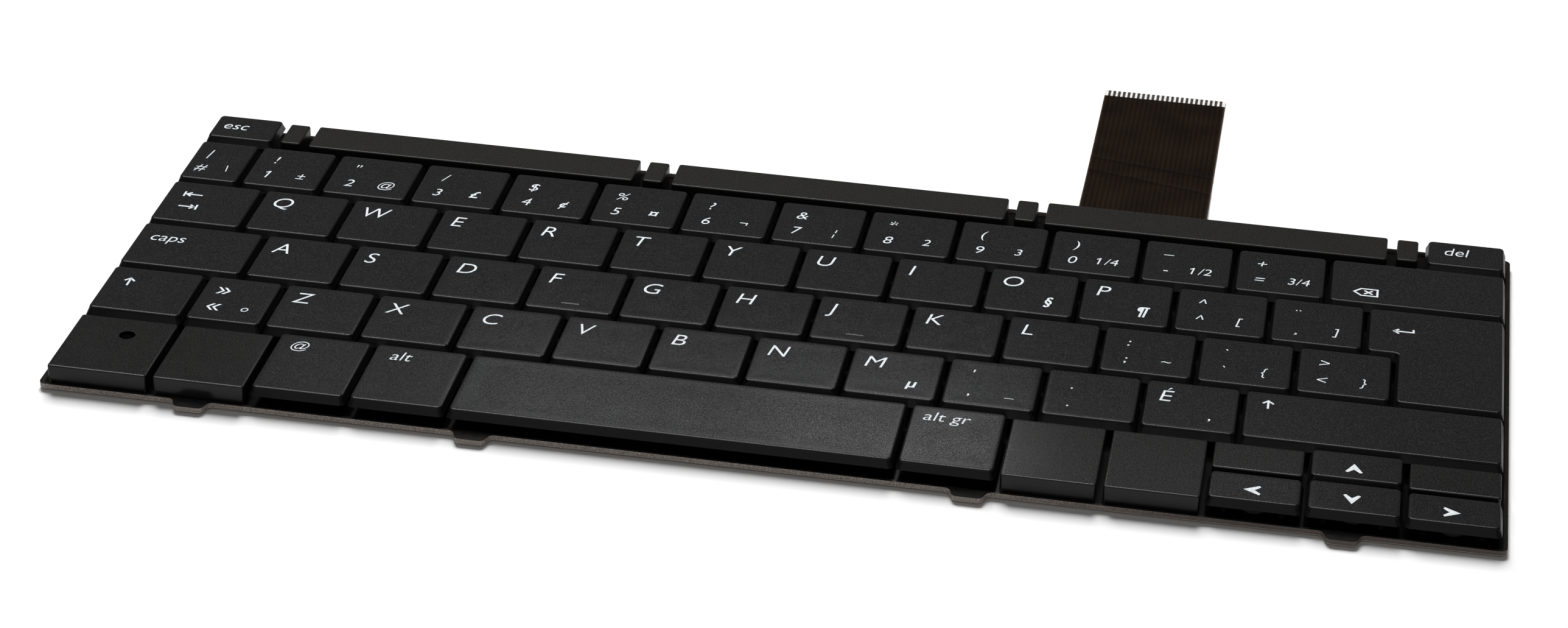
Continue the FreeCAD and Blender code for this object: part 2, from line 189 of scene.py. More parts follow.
world = bpy.data.worlds.new("studio_room")
bpy.context.scene.world = world
world.use_nodes = True
tree = world.node_tree
tree.nodes.clear()
light_path = add(tree, "LightPath", {})
room = add(tree, "Background", {"Color": linear("#FFFFFF"), "Strength": ROOM_LEVEL})
backdrop = add(tree, "Background", {"Color": linear("#FFFFFF"), "Strength": 1.0})
mix = add(tree, "MixShader", {
    0: light_path.outputs["Is Camera Ray"], 1: room.outputs[0], 2: backdrop.outputs[0]})
add(tree, "OutputWorld", {"Surface": mix.outputs[0]})


def soft_box(name, place, target, width, height, watts):
    """A rectangular lamp at place, turned to face target."""
    data = bpy.data.lights.new(name, "AREA")
    data.shape = "RECTANGLE"
    data.size = width
    data.size_y = height
    data.energy = watts
    lamp = bpy.data.objects.new(name, data)
    lamp.location = place
    lamp.rotation_euler = (Vector(target) - Vector(place)).to_track_quat("-Z", "Y").to_euler()
    lamp.visible_camera = False
    bpy.context.scene.collection.objects.link(lamp)
    return lamp


soft_box("key_box", (-0.55, 1.97, 2.2), TRAY_CENTRE, 1.5, 1.5, 134.0).visible_glossy = False
soft_box("fill_box", (-0.2, -2.4, 1.0), TRAY_CENTRE, 2.0, 2.0, 5.0).visible_glossy = False
soft_box("front_card", (-0.2, -2.3, 1.0), TRAY_CENTRE, 2.0, 2.0, 2.4).visible_diffuse = False
soft_box("top_box", (-0.30, 0.10, 1.30), TRAY_CENTRE, 1.3, 1.3, 15.0).visible_diffuse = False
for number, (name, middle, width, watts) in enumerate(STRIPS):
    place = [side + number * STRIP_STEP for side in STRIP_PLACE]
    soft_box(name, (middle, *place), (middle, *FRONT_ROW), width, STRIP_HEIGHT, watts)

# %% [markdown]
# ## Cap plastic
# The caps and blanks are ABS, injection moulded in a mould whose face was spark eroded. That leaves a
# fine pebbled grain a quarter of a millimetre wide on the tops, while the walls, which slide out of the
# mould, stay smooth. The plastic looks near-black and satin, and the crests of the grain sparkle
# faintly: the sheen rises towards the crests, and the colour is painted lighter there as painted glints.
# A picture of the grain could be wrapped on, but noise in the object's own space needs no unwrapping,
# keeps its real size on every cap and moves with the key.

# %% Moulded ABS
GRAIN_WIDTH = 0.22 * MM
GRAIN_DEPTH = 0.016 * MM
DULL_HOLLOW = 0.15
BRIGHT_CREST = 0.85
DULL_WALL = 0.43
# The blanks' walls sit at a higher grain level, so they are glossier and also painted lighter: part real
# sheen, part painted reflection.
GLOSS_AND_PAINTED_REFLECTION_WALL = 0.51
MOTTLE_WIDTH = 4.0 * MM
ABS_IOR = 1.53
TOP_FACING = (0.85, 0.98)
HOLLOW, SLOPE, CREST = 0.35, 0.55, 0.75


def moulded_abs(name, dark, middle, painted_glint, wall, roughness):
    """Black ABS: grain on tops, one level of it on walls; the crest colour is painted lighter, as glints;
    roughness is the least and most from mottling.
    """
    material, tree, shader = new_material(name, IOR=ABS_IOR)
    place = add(tree, "TexCoord", {}).outputs["Object"]
    pebbles = add(tree, "TexNoise", {
        "Vector": place, "Scale": 1 / GRAIN_WIDTH, "Detail": 2.0, "Roughness": 0.6})
    facing = add(tree, "SeparateXYZ", {"Vector": add(tree, "NewGeometry", {}).outputs["Normal"]})
    topness = add(tree, "MapRange", {
        "Value": facing.outputs["Z"], "From Min": TOP_FACING[0], "From Max": TOP_FACING[1]})
    grain = add(tree, "Mix", {
        "Factor": topness.outputs["Result"], 2: wall, 3: pebbles.outputs["Fac"]}).outputs[0]
    mottle = add(tree, "TexNoise", {"Vector": place, "Scale": 1 / MOTTLE_WIDTH, "Detail": 3.0})
    # The colour follows the grain and is painted lighter towards its crests, as painted glints.
    tint = add(tree, "ValToRGB", {"Fac": grain})
    ramp_colours(tint, [(HOLLOW, dark), (SLOPE, middle), (CREST, painted_glint)])
    sheen = add(tree, "MapRange", {
        "Value": grain, "From Min": HOLLOW, "From Max": 1 - HOLLOW,
        "To Min": DULL_HOLLOW, "To Max": BRIGHT_CREST})
    polish = add(tree, "MapRange", {
        "Value": mottle.outputs["Fac"], "From Min": 0.3, "From Max": 0.7,
        "To Min": roughness[0], "To Max": roughness[1]})
    bump = add(tree, "Bump", {"Height": grain, "Strength": 1.0, "Distance": GRAIN_DEPTH})
    feed(tree, shader, Base_Color=tint.outputs["Color"], Roughness=polish.outputs["Result"],
         Specular_IOR_Level=sheen.outputs["Result"], Normal=bump.outputs["Normal"])
    return material


# The last colour of each plastic is the painted glint on the grain's crests.
cap_abs = moulded_abs(
    "black_abs_spark_grain", "#0F0F10", "#1A1A1B", "#353536", DULL_WALL, (0.20, 0.25))
# The blanks' walls are glossier and painted lighter, a painted reflection on their fronts.
filler_abs = moulded_abs(
    "black_abs_blank", "#0D0D0D", "#191918", "#383737", GLOSS_AND_PAINTED_REFLECTION_WALL, (0.20, 0.25))
bar_abs = moulded_abs(
    "black_abs_satin_bar", "#12110F", "#1D1C1B", "#33322F", DULL_WALL, (0.29, 0.33))
print("plastics:", cap_abs.name + ",", filler_abs.name, "and", bar_abs.name)

# %% [markdown]
# ## Legend ink
# The legends are pad printed: a soft silicone pad lays down a thin film of white ink. The ink is a cool
# white, slightly duller than paper, and thin enough that its cover varies a little, which a fine noise
# in its colour gives. A flat white would glow.

# %% Pad-printed ink
INK_MOTTLE = 0.5 * MM

ink, tree, shader = new_material("pad_printed_white_ink", Roughness=0.5, IOR=1.5)
place = add(tree, "TexCoord", {}).outputs["Object"]
cover = add(tree, "TexNoise", {"Vector": place, "Scale": 1 / INK_MOTTLE, "Detail": 2.0})
tint = add(tree, "ValToRGB", {"Fac": cover.outputs["Fac"]})
ramp_colours(tint, [(0.3, "#C9D0D4"), (0.6, "#E6EBEE")])
feed(tree, shader, Base_Color=tint.outputs["Color"])
print("ink:", ink.name)

# %% [markdown]
# ## Tray steel
# The tray is thin steel sheet, pressed and then lacquered black. Its outer edge was trimmed after
# coating, so the raw zinc-coated cut shows: a brown rolled corner at the bottom, above it a bright
# gritty line where the sheet broke, and then the sheared face, rough along most of the front and smooth
# near its right end. Two materials on one piece give that: glossy lacquer inside, and on the outward
# faces a dull metal colour in layers, each laid over the one below by its height.

# %% Lacquered steel and its raw edge
EDGE_GRIT = 0.18 * MM
EDGE_LAYERS = ((0.24 * MM, 0.32 * MM), (0.42 * MM, 0.52 * MM))
SMOOTH_STRETCH = (45 * MM, 80 * MM)
GRIT_DEPTH = 0.03 * MM
GRIT_STRENGTH = 0.6
LACQUER_RIPPLE = 1.2 * MM
RIPPLE_DEPTH = 0.02 * MM
RIPPLE_STRENGTH = 0.25
LACQUER_POLISH = (0.22, 0.38)

lacquer, tree, shader = new_material("black_lacquered_steel", IOR=1.5)
place = add(tree, "TexCoord", {}).outputs["Object"]
ripple = add(tree, "TexNoise", {"Vector": place, "Scale": 1 / LACQUER_RIPPLE, "Detail": 3.0})
tint = add(tree, "ValToRGB", {"Fac": ripple.outputs["Fac"]})
ramp_colours(tint, [(0.3, "#0A0908"), (0.7, "#14110F")])
polish = add(tree, "MapRange", {
    "Value": ripple.outputs["Fac"], "To Min": LACQUER_POLISH[0], "To Max": LACQUER_POLISH[1]})
bump = add(tree, "Bump", {
    "Height": ripple.outputs["Fac"], "Strength": RIPPLE_STRENGTH, "Distance": RIPPLE_DEPTH})
feed(tree, shader, Base_Color=tint.outputs["Color"], Roughness=polish.outputs["Result"],
     Normal=bump.outputs["Normal"])

raw_edge, tree, shader = new_material("zinc_coated_steel_edge", IOR=1.5, Roughness=0.35)
place = add(tree, "TexCoord", {}).outputs["Object"]
grit = add(tree, "TexNoise", {"Vector": place, "Scale": 1 / EDGE_GRIT, "Detail": 3.0, "Roughness": 0.7})
rough_cut = add(tree, "ValToRGB", {"Fac": grit.outputs["Fac"]})
ramp_colours(rough_cut, [(0.34, "#7C7068"), (0.5, "#B6AAA0"), (0.68, "#F4EAE0")])
smooth_cut = add(tree, "ValToRGB", {"Fac": grit.outputs["Fac"]})
ramp_colours(smooth_cut, [(0.34, "#6C625B"), (0.5, "#796F67"), (0.68, "#8B8178")])
broken = add(tree, "ValToRGB", {"Fac": grit.outputs["Fac"]})
ramp_colours(broken, [(0.34, "#C4BAB0"), (0.5, "#ECE4DB"), (0.68, "#FDFAF6")])
across, _, height = add(tree, "SeparateXYZ", {"Vector": place}).outputs
stretch = add(tree, "MapRange", {
    "Value": across, "From Min": SMOOTH_STRETCH[0], "From Max": SMOOTH_STRETCH[1]})
sheared = add(tree, "Mix", {"Factor": stretch.outputs["Result"], 6: rough_cut.outputs["Color"],
                            7: smooth_cut.outputs["Color"]}, data_type="RGBA")
tint = linear("#BCA78F")
for (low, high), layer in zip(EDGE_LAYERS, (broken.outputs["Color"], sheared.outputs[2])):
    rise = add(tree, "MapRange", {"Value": height, "From Min": low, "From Max": high})
    tint = add(tree, "Mix", {"Factor": rise.outputs["Result"], 6: tint, 7: layer},
               data_type="RGBA").outputs[2]
bump = add(tree, "Bump", {
    "Height": grit.outputs["Fac"], "Strength": GRIT_STRENGTH, "Distance": GRIT_DEPTH})
feed(tree, shader, Base_Color=tint, Normal=bump.outputs["Normal"])
print("tray finishes:", lacquer.name, "and", raw_edge.name)

# %% [markdown]
# ## Rubber and acetal
# The domes are silicone rubber, moulded matt, and the scissor frames are acetal, a waxy engineering
# plastic. Both sit in the dark below the caps and show only as grey glints through the gaps, so a soft
# colour noise and the right gloss are enough.

# %% Works materials
WORKS_MOTTLE = 0.8 * MM


def works_material(name, dark, light, roughness, ior, gloss=0.5):
    """A plain material with a soft mottling of its colour; gloss is the shader's specular level."""
    material, tree, shader = new_material(name, IOR=ior, Roughness=roughness, Specular_IOR_Level=gloss)
    place = add(tree, "TexCoord", {}).outputs["Object"]
    mottle = add(tree, "TexNoise", {"Vector": place, "Scale": 1 / WORKS_MOTTLE, "Detail": 2.0})
    tint = add(tree, "ValToRGB", {"Fac": mottle.outputs["Fac"]})
    ramp_colours(tint, [(0.3, dark), (0.7, light)])
    feed(tree, shader, Base_Color=tint.outputs["Color"])
    return material


dome_rubber = works_material("grey_silicone_rubber", "#4A4A49", "#5C5C5A", 0.6, 1.41)
link_acetal = works_material("black_acetal", "#191918", "#242423", 0.35, 1.48)
# Painted shade: the dimple's wall and floor are coloured near-black, darker than the blank's ABS, with no
# gloss.
dimple_painted_shade = works_material("painted_shade_dimple_abs", "#040404", "#080808", 0.75, ABS_IOR, gloss=0.0)
print("works:", dome_rubber.name, "and", link_acetal.name)

# %% [markdown]
# ## Films
# The switch sheet is polyester film printed with black carbon ink. The tail is the same film: its
# circuits run lengthwise under a dull brown-black cover coat and show as fine ribs, the bare film shows
# amber along both edges, and at the tip the cover stops and the contact fingers lie on a white
# stiffener. Two slanted creases cross the tail where it has been folded, and the coat is painted darker
# near each crease's line, as painted shade in the creases.

# %% Printed polyester film
TRACE_PITCH = 1.0 * MM
STAIN_WIDTH = 9.0 * MM
FULL_TURN = 2 * math.pi
TAIL_MIDDLE = 57.2 * MM
TAIL_WIDTH = 24.9 * MM
CREASES = [(79.5 * MM, 75.2 * MM), (74.1 * MM, 68.0 * MM)]
CREASE_WIDTH = 0.7 * MM
PAINTED_CREASE_SHADE = 0.75
RIB_DEPTH = 0.02 * MM
RIB_STRENGTH = 0.35

tail_film, tree, shader = new_material(
    "brown_black_cover_coat", IOR=1.57, Roughness=0.3, Specular_IOR_Level=0.1)
place = add(tree, "TexCoord", {}).outputs["Object"]
across, along, _ = add(tree, "SeparateXYZ", {"Vector": place}).outputs
turns = add(tree, "Math", {0: across, 1: FULL_TURN / TRACE_PITCH}, operation="MULTIPLY").outputs[0]
rib = add(tree, "Math", {0: turns}, operation="SINE").outputs[0]
rib = add(tree, "MapRange", {"Value": rib, "From Min": -1.0}).outputs["Result"]
stain = add(tree, "TexNoise", {"Vector": place, "Scale": 1 / STAIN_WIDTH, "Detail": 4.0})
tint = add(tree, "ValToRGB", {"Fac": rib})
ramp_colours(tint, [(0.25, "#150D07"), (0.85, "#1E140B")])
shade = add(tree, "ValToRGB", {"Fac": stain.outputs["Fac"]})
ramp_colours(shade, [(0.3, "#B8B0AA"), (0.65, "#FFFFFF")])
coat = add(tree, "Mix", {"Factor": 1.0, 6: tint.outputs["Color"], 7: shade.outputs["Color"]},
           data_type="RGBA", blend_type="MULTIPLY").outputs[2]
# Painted shade in the creases: near each crease's line the coat is mixed towards near-black.
for left_end, right_end in CREASES:
    slope = (right_end - left_end) / TAIL_WIDTH
    start = left_end - slope * (TAIL_MIDDLE - TAIL_WIDTH / 2)
    line = add(tree, "Math", {0: across, 1: slope, 2: start}, operation="MULTIPLY_ADD").outputs[0]
    offset = add(tree, "Math", {0: along, 1: line}, operation="SUBTRACT").outputs[0]
    distance = add(tree, "Math", {0: offset}, operation="ABSOLUTE").outputs[0]
    crease_shade = add(tree, "MapRange", {
        "Value": distance, "From Max": CREASE_WIDTH, "To Min": PAINTED_CREASE_SHADE, "To Max": 0.0})
    coat = add(tree, "Mix", {"Factor": crease_shade.outputs["Result"], 6: coat, 7: linear("#060302")},
               data_type="RGBA").outputs[2]
bump = add(tree, "Bump", {"Height": rib, "Strength": RIB_STRENGTH, "Distance": RIB_DEPTH})
feed(tree, shader, Base_Color=coat, Normal=bump.outputs["Normal"])

film_edge = works_material("amber_polyester_film", "#2A1D13", "#433020", 0.35, 1.57)
stiffener_white = works_material("white_polyester_stiffener", "#D6D5D3", "#F1F0EE", 0.45, 1.57)
finger_carbon = works_material("carbon_contact_ink", "#2B2724", "#443D38", 0.5, 1.5)
switch_print = works_material("black_printed_polyester", "#060505", "#0D0B0A", 0.2, 1.57, gloss=0.1)
films = (tail_film, film_edge, stiffener_white, finger_carbon, switch_print)
print("films:", [film.name for film in films])

# %% [markdown]
# ## Reading the solids
# Some nodes hold many like solids, such as the ten digit caps, the blanks and the works under the keys.
# The loader splits points along sharp edges, so the points are merged first, and then every solid is a
# group of faces that share points. Walking from face to face collects them.

# %% Split a node into its solids
MERGE_DISTANCE = 0.001 * MM


class Solid:
    """One closed solid of a CAD node: its corner points, its faces and its box."""

    def __init__(self, faces):
        points = list({vertex for face in faces for vertex in face.verts})
        place = {vertex: number for number, vertex in enumerate(points)}
        self.points = [vertex.co.copy() for vertex in points]
        self.faces = [[place[vertex] for vertex in face.verts] for face in faces]
        self.low = Vector([min(point[axis] for point in self.points) for axis in range(3)])
        self.high = Vector([max(point[axis] for point in self.points) for axis in range(3)])
        self.centre = (self.low + self.high) / 2


def solids_of(node):
    """The separate solids of a CAD node."""
    mesh = bmesh.new()
    mesh.from_mesh(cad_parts[node].data)
    bmesh.ops.remove_doubles(mesh, verts=mesh.verts[:], dist=MERGE_DISTANCE)
    waiting = set(mesh.faces)
    found = []
    while waiting:
        group = [waiting.pop()]
        for face in group:
            for edge in face.edges:
                fresh = [other for other in edge.link_faces if other in waiting]
                waiting.difference_update(fresh)
                group += fresh
        found.append(Solid(group))
    mesh.free()
    return found


digit_solids = sorted(solids_of("digit_keys"), key=lambda solid: solid.centre.x)
filler_solids = solids_of("filler_blocks")
dome_solids = solids_of("rubber_domes")
link_solids = solids_of("scissor_links")
print(len(digit_solids), "digit caps,", len(filler_solids), "blanks,", len(dome_solids), "domes,",
      len(link_solids), "scissor frames")

# %% [markdown]
# ## The form of a cap
# A cap is a thin moulded shell: a top that is barely dished for the fingertip, a small round along its
# edge that catches the light, a skirt that spreads downwards, and a hollow below. It could be a cube
# with a bevel modifier, but the skirt spreads by different amounts at the sides, front and back, and the
# enter key is L-shaped. So the cap is lofted: rings of points round one outline, each at its own height
# and inset.

# %% Rings round an outline
CORNER_STEPS = 5
LEAST_ROUND = 0.04 * MM


def rectangle(left, right, front, back):
    """Corners anticlockwise from the front left."""
    return [Vector((left, front)), Vector((right, front)), Vector((right, back)), Vector((left, back))]


def shifted(outline, side, front, back):
    """A square-cornered outline with its side, front and back edges moved outwards."""
    moved = []
    for number, corner in enumerate(outline):
        place = corner.copy()
        after = outline[(number + 1) % len(outline)]
        for run in (corner - outline[number - 1], after - corner):
            if abs(run.x) > abs(run.y):
                place.y += -front if run.x > 0 else back
            else:
                place.x += side if run.y > 0 else -side
        moved.append(place)
    return moved


def ring(outline, inset, round_size, height):
    """Points at one height, inset from an outline; rounds keep their centres from ring to ring."""
    inner = shifted(outline, -inset, -inset, -inset)
    points = []
    for number, corner in enumerate(inner):
        to_before = (inner[number - 1] - corner).normalized()
        to_after = (inner[(number + 1) % len(inner)] - corner).normalized()
        is_outer_corner = to_after.cross(to_before) > 0
        radius = max(round_size - inset if is_outer_corner else round_size + inset, LEAST_ROUND)
        centre = corner + (to_before + to_after) * radius
        for step in range(CORNER_STEPS + 1):
            angle = math.pi / 2 * step / CORNER_STEPS
            point = centre - (to_after * math.cos(angle) + to_before * math.sin(angle)) * radius
            points.append(point.to_3d() + Vector((0, 0, height)))
    return points


def loft(mesh, rings):
    """Adds a closed skin through rings of points, capped at its first and last ring."""
    rows = [[mesh.verts.new(point) for point in points] for points in rings]
    faces = [mesh.faces.new(rows[0][::-1]), mesh.faces.new(rows[-1])]
    for lower, upper in zip(rows, rows[1:]):
        for number in range(len(lower)):
            after = (number + 1) % len(lower)
            faces.append(mesh.faces.new((lower[number], lower[after], upper[after], upper[number])))
    for face in faces:
        face.smooth = True


print("each ring of a four-cornered cap has", 4 * (CORNER_STEPS + 1), "points")

# %% [markdown]
# The rings run from the hollow's ceiling down its wall, out under the rim, up the skirt, over the edge
# round and into the dish. Round and dish are quarter and half waves, so the top meets its edge without a
# crease.

# %% Loft a cap
CAP_ROUND = 0.9 * MM
EDGE_ROUND = 0.42 * MM
EDGE_STEPS = 6
DISH_DEPTH = 0.04 * MM
DISH_REACH = 3.2 * MM
DISH_STEPS = 5
CAP_WALL = 0.5 * MM
CEILING_DEPTH = 0.7 * MM
SKIRT_SIDE = 0.4 * MM
SKIRT_FRONT = 0.7 * MM
SKIRT_BACK = 0.5 * MM


def edge_rings(outline, edge, round_size, top):
    """Rings from an upright wall over its edge round to the flat top."""
    rings = []
    for step in range(EDGE_STEPS + 1):
        angle = math.pi / 2 * step / EDGE_STEPS
        inset = edge * (1 - math.cos(angle))
        rings.append(ring(outline, inset, round_size, top - edge * (1 - math.sin(angle))))
    return rings


def dish_rings(outline, top):
    """Rings from the edge of a cap's top to the bottom of its dish."""
    rings = []
    for step in range(1, DISH_STEPS + 1):
        share = step / DISH_STEPS
        fall = DISH_DEPTH * (1 - math.cos(math.pi * share)) / 2
        rings.append(ring(outline, EDGE_ROUND + DISH_REACH * share, CAP_ROUND, top - fall))
    return rings


def cap_mesh(outline, bottom, top):
    """A hollow cap as a bmesh; outline is the flat top before its edge is rounded."""
    mesh = bmesh.new()
    ceiling = top - CEILING_DEPTH
    skirt_foot = shifted(outline, SKIRT_SIDE, SKIRT_FRONT, SKIRT_BACK)
    rings = [
        ring(outline, CAP_WALL, CAP_ROUND, ceiling),
        ring(outline, CAP_WALL, CAP_ROUND, bottom),
        ring(skirt_foot, 0, CAP_ROUND, bottom),
    ]
    loft(mesh, rings + edge_rings(outline, EDGE_ROUND, CAP_ROUND, top) + dish_rings(outline, top))
    return mesh


def finish_piece(name, mesh, materials, sharp_angle=40):
    """Turns a bmesh into an object with its materials, smooth but for edges sharper than the angle."""
    data = bpy.data.meshes.new(name)
    bmesh.ops.recalc_face_normals(mesh, faces=mesh.faces[:])
    mesh.to_mesh(data)
    mesh.free()
    for material in materials:
        data.materials.append(material)
    data.set_sharp_from_angle(angle=math.radians(sharp_angle))
    piece = bpy.data.objects.new(name, data)
    bpy.context.scene.collection.objects.link(piece)
    return piece


print("cap edge round, mm:", round(EDGE_ROUND / MM, 2), "and depth of dish:", round(DISH_DEPTH / MM, 2))

# %% [markdown]
# ## Outlines of the live keys
# Each key node's box is the foot of its skirt, so its flat top is that box less the spread of the skirt.
# The enter key covers the ends of two rows. Its inner corner is found from the points of its solid.

# %% Find every key's top outline
HOMING_KEYS = ("f", "j")
STEP_ROOM = 5 * MM

plain_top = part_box("key_a")[1].z
skirt_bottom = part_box("key_a")[0].z


def top_outline(low, high):
    """The flat top of a key whose skirt fills the given box."""
    return shifted(rectangle(low.x, high.x, low.y, high.y), -SKIRT_SIDE, -SKIRT_FRONT, -SKIRT_BACK)


def enter_outline():
    """The L-shaped top of the enter key, read from its solid."""
    low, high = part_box("key_enter")
    points = [vertex.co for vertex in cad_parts["key_enter"].data.vertices]
    front_left = min(point.x for point in points if point.y < low.y + STEP_ROOM)
    step = min(point.y for point in points if point.x < low.x + (front_left - low.x) / 2)
    foot = [(front_left, low.y), (high.x, low.y), (high.x, high.y), (low.x, high.y), (low.x, step),
            (front_left, step)]
    return shifted([Vector(corner) for corner in foot], -SKIRT_SIDE, -SKIRT_FRONT, -SKIRT_BACK)


def span(outline):
    """Left, right, front and back of an outline."""
    xs = [corner.x for corner in outline]
    ys = [corner.y for corner in outline]
    return min(xs), max(xs), min(ys), max(ys)


outlines = {}
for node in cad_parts:
    if node.startswith("key_"):
        outlines[node[len("key_"):]] = top_outline(*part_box(node))
outlines["enter"] = enter_outline()
for digit, solid in zip("1234567890", digit_solids):
    outlines[digit] = top_outline(solid.low, solid.high)
print(len(outlines), "key tops, the widest", round(
    max(outline[1].x - outline[0].x for outline in outlines.values()) / MM, 1), "mm")

# %% [markdown]
# ## Legends
# The legends are plain letters, digits, signs and arrows in a geometric oblique face. Text objects in
# Blender's own font, sheared and slightly thinned, come close to it, and arrows and icons are drawn as
# strokes. Each legend is a thin closed film of ink: its top lies just above the dished plastic and its
# root just below, with each point dropped onto the cap by a ray, so that the print follows the dish.

# %% Shapes made of ink
INK_HEIGHT = 0.02 * MM
INK_ROOT = 0.06 * MM
FONT_CAPITAL = 0.682
SHEAR = 0.17
FONT_SWELL = -0.007
FONT_SQUEEZE = 0.93
STROKE_WIDTH = 0.38 * MM
CURVE_STEPS = 6
LAYER_GAP = 1.0 * MM


def text_shape(text, capital_height, centred=True, swell=FONT_SWELL):
    """Text as flat points and faces, centred across or set from its left, capitals centred in height."""
    curve = bpy.data.curves.new("legend", "FONT")
    curve.body = text
    curve.size = capital_height / FONT_CAPITAL
    curve.shear = SHEAR
    curve.offset = swell * curve.size
    curve.extrude = LAYER_GAP
    curve.resolution_u = CURVE_STEPS
    holder = bpy.data.objects.new("legend", curve)
    flat = bpy.data.meshes.new_from_object(holder)
    xs = [vertex.co.x for vertex in flat.vertices]
    middle = (min(xs) + max(xs)) / 2 if centred else 0.0
    points = [Vector((
        (vertex.co.x - middle) * FONT_SQUEEZE, vertex.co.y - capital_height / 2, vertex.co.z))
        for vertex in flat.vertices]
    faces = [list(polygon.vertices) for polygon in flat.polygons]
    bpy.data.objects.remove(holder)
    bpy.data.curves.remove(curve)
    bpy.data.meshes.remove(flat)
    return points, faces


def filled_shape(corners):
    """A filled outline, with corners in millimetres anticlockwise, as points and faces."""
    count = len(corners)
    points = [Vector((x * MM, y * MM, side * LAYER_GAP)) for side in (-1, 1) for x, y in corners]
    faces = [list(range(count))[::-1], list(range(count, 2 * count))]
    for number in range(count):
        after = (number + 1) % count
        faces.append([number, after, count + after, count + number])
    return points, faces


def stroke_shape(corners, closed=False):
    """A line of ink through corners in millimetres, with mitred joints, as points and faces."""
    path = [Vector(corner) for corner in corners]
    half = STROKE_WIDTH / MM / 2
    count = len(path)
    left = []
    right = []
    for number, corner in enumerate(path):
        runs = []
        if closed or number > 0:
            runs.append((corner - path[number - 1]).normalized())
        if closed or number < count - 1:
            runs.append((path[(number + 1) % count] - corner).normalized())
        normals = [Vector((-run.y, run.x)) for run in runs]
        mitre = sum(normals, Vector((0, 0)))
        mitre *= half * len(normals) / mitre.length_squared
        left.append(corner + mitre)
        right.append(corner - mitre)
    points = []
    for side in (-1, 1):
        points += [Vector((place.x * MM, place.y * MM, side * LAYER_GAP)) for place in left + right]
    faces = []
    layer = 2 * count
    for number in range(count if closed else count - 1):
        after = (number + 1) % count
        a, b, c, d = number, after, count + after, count + number
        faces += [[a, b, c, d], [layer + d, layer + c, layer + b, layer + a],
                  [a, layer + a, layer + b, b], [d, c, layer + c, layer + d]]
    if not closed:
        faces += [[0, count, layer + count, layer],
                  [count - 1, layer + count - 1, layer + 2 * count - 1, 2 * count - 1]]
    return points, faces


def print_on(mesh, surface, shape, place):
    """Lays an ink shape on a cap: each point is dropped onto the surface at its place."""
    points, faces = shape
    corners = []
    for point in points:
        spot = Vector((place.x + point.x, place.y + point.y, plain_top + LAYER_GAP))
        hit = surface.ray_cast(spot, Vector((0, 0, -1)))[0]
        lift = INK_HEIGHT if point.z > 0 else -INK_ROOT
        corners.append(mesh.verts.new(hit + Vector((0, 0, lift))))
    for face in faces:
        printed = mesh.faces.new([corners[number] for number in face])
        printed.material_index = 1
    bmesh.ops.remove_doubles(mesh, verts=corners, dist=MERGE_DISTANCE)


print("a capital I has", len(text_shape("I", 3 * MM)[0]), "points")

# %% [markdown]
# A legend's place is counted from the left and back edges of its cap's flat top, as a share of a
# standard cap, so that letters line up along a row and stay near the left end of a long cap.

# %% Which legend goes where
STANDARD_WIDTH = 16.25 * MM
STANDARD_DEPTH = 15.7 * MM
LETTER_HEIGHT = 3.7 * MM
FIGURE_HEIGHT = 2.75 * MM
WORD_HEIGHT = 2.9 * MM
AT_HEIGHT = 2.5 * MM
LETTER_PLACE = (0.125, 0.28)
UPPER_PLACE = (0.275, 0.31)
LOWER_PLACE = (0.265, 0.70)
THIRD_PLACE = (0.71, 0.67)
THIRD_HEIGHT = 2.45 * MM
BOLD_SIGNS = "£¢¤§¶µ"
BOLD_SWELL = 0.014
ONE = [(-0.36, -1.37), (-0.04, -1.37), (0.42, 1.37), (0.16, 1.37), (-0.56, 0.88), (-0.48, 0.62),
       (0.02, 0.87)]
ONE_HEIGHT = 2.74 * MM
FRACTION_PLACE = (0.57, 0.67)


def sign_shape(sign, height):
    """A sign as a shape; the font's digits, which stand high and low, are all made as tall as height."""
    if sign == "1":
        return filled_shape([(x * height / ONE_HEIGHT, y * height / ONE_HEIGHT) for x, y in ONE])
    points, faces = text_shape(sign, height, swell=BOLD_SWELL if sign in BOLD_SIGNS else FONT_SWELL)
    if sign.isdigit():
        low = min(point.y for point in points)
        high = max(point.y for point in points)
        scale = height / (high - low)
        points = [Vector((point.x * scale, (point.y - (low + high) / 2) * scale, point.z))
                  for point in points]
    return points, faces


legends = {letter: [(text_shape(letter.upper(), LETTER_HEIGHT, centred=False), LETTER_PLACE)]
           for letter in "qwertyuiopasdfghjklzxcvbnm"}
legends["e_acute"] = [(text_shape("É", LETTER_HEIGHT, centred=False), (0.125, 0.32))]

FIGURES = {
    "hash": "| # \\", "1": "! 1 ±", "2": '" 2 @', "3": "/ 3 £", "4": "$ 4 ¢", "5": "% 5 ¤", "6": "? 6 ¬",
    "7": "& 7 ¦", "8": "* 8 2", "9": "( 9 3", "0": ") 0 /4", "minus": "– - /2", "equals": "+ = 3/4",
    "caret": "^ ^ [", "diaeresis": "¨ ¸ ]", "semicolon": ": ; ~", "grave": "` ` {", "angle": "> < }",
    "comma": "' , _", "period": ". .",
}
for name, signs in FIGURES.items():
    places = (UPPER_PLACE, LOWER_PLACE, THIRD_PLACE)
    heights = (FIGURE_HEIGHT, FIGURE_HEIGHT, THIRD_HEIGHT)
    legends[name] = [(sign_shape(sign, height), place)
                     for sign, place, height in zip(signs.split(), places, heights)]
for name in ("0", "minus"):
    legends[name].append((sign_shape("1", THIRD_HEIGHT), FRACTION_PLACE))
for name, sign in {"o": "§", "p": "¶", "m": "µ", "e_acute": ","}.items():
    legends[name].append((sign_shape(sign, FIGURE_HEIGHT), THIRD_PLACE))

